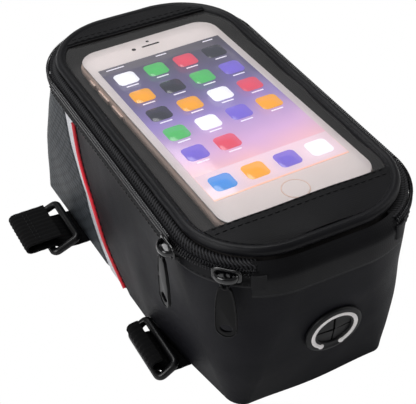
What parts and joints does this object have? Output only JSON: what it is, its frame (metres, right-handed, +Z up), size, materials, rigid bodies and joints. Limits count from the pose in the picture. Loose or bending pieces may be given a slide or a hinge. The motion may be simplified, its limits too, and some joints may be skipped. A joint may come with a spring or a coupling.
{
  "type": "top tube phone bag",
  "caption": "Soft box bag for a bicycle top tube, with a zipped windowed lid that holds a phone, a rubber earphone port and hook-and-loop straps.",
  "frame": {"origin": "on the underside of the grip pad under the base, where the bag sits on the top tube, level with the straps", "axes": "+Y along the tube away from the end with the earphone port, +Z up, +X to the right"},
  "size_m": [0.1246, 0.1899, 0.0841],
  "materials": {
    "side_fabric": "coated woven polyester, soft sheen",
    "ripstop": "dark grey coated ripstop",
    "reflective": "grey glass-bead reflective fabric",
    "red_piping": "red corded piping",
    "lining": "matt grey knit over thin foam",
    "binding": "coated piping, satin",
    "tape": "woven twill zip tape",
    "teeth": "nylon coil",
    "film": "clear soft film",
    "rubber": "moulded, satin",
    "port_mark": "pale moulded rubber",
    "webbing": "ribbed webbing",
    "black_plastic": "moulded acetal",
    "slider": "glossy black enamel",
    "phone_shell": "anodised rose gold",
    "phone_glass": "white glass face",
    "phone_screen": "lit display"
  },
  "bodies": {
    "bag": {"front_panel": "side_fabric", "left_piping": "red_piping", "right_piping": "red_piping", "left_reflective_strip": "reflective", "right_reflective_strip": "reflective", "left_ripstop_panel": "ripstop", "right_ripstop_panel": "ripstop", "rear_panel": "ripstop", "base_panel": "side_fabric", "grip_pad": "rubber", "lining": "lining", "bag_zip_tape": "tape", "bag_zip_teeth": "teeth", "hinge_strip": "side_fabric", "left_zip_stop": "side_fabric", "right_zip_stop": "side_fabric", "port_grommet": "rubber", "port_membrane": "rubber", "port_mark": "port_mark", "far_strap": "webbing", "near_strap": "webbing", "far_strap_ring": "black_plastic", "near_strap_ring": "black_plastic"},
    "lid": {"lid_zip_tape": "tape", "lid_zip_teeth": "teeth", "lid_hinge_strip": "side_fabric", "lid_binding": "binding", "front_band": "side_fabric", "rear_band": "side_fabric", "window_film": "film", "phone_pocket": "lining", "pocket_flap": "lining", "phone_shell": "phone_shell", "phone_glass": "phone_glass", "phone_screen": "phone_screen", "phone_home_key": "phone_glass"},
    "slider_1": {"slider_1": "slider"},
    "slider_2": {"slider_2": "slider"},
    "pull_1": {"pull_1": "slider"},
    "pull_2": {"pull_2": "slider"}
  },
  "joints": [
    {"name": "lid_hinge", "type": "hinge", "parent": "bag", "child": "lid", "pos_m": [0, -0.094, 0.07715], "axis": [1, 0, 0], "range_deg": [0, 100]},
    {"name": "slider_1_travel", "type": "slide", "parent": "bag", "child": "slider_1", "axis": [0, 1, 0], "range_m": [0, 0.1]},
    {"name": "pull_1_swing", "type": "hinge", "parent": "slider_1", "child": "pull_1", "pos_m": [-0.0523, -0.0615, 0.07715], "axis": [0, 1, 0], "range_deg": [0, 150]},
    {"name": "slider_2_travel", "type": "hinge", "parent": "bag", "child": "slider_2", "pos_m": [-0.013, -0.058, 0.07715], "axis": [0, 0, 1], "range_deg": [-5, 3]},
    {"name": "pull_2_swing", "type": "hinge", "parent": "slider_2", "child": "pull_2", "pos_m": [-0.0403, -0.08627, 0.07715], "axis": [-0.7193, 0.6947, 0], "range_deg": [0, 120]}
  ]
}
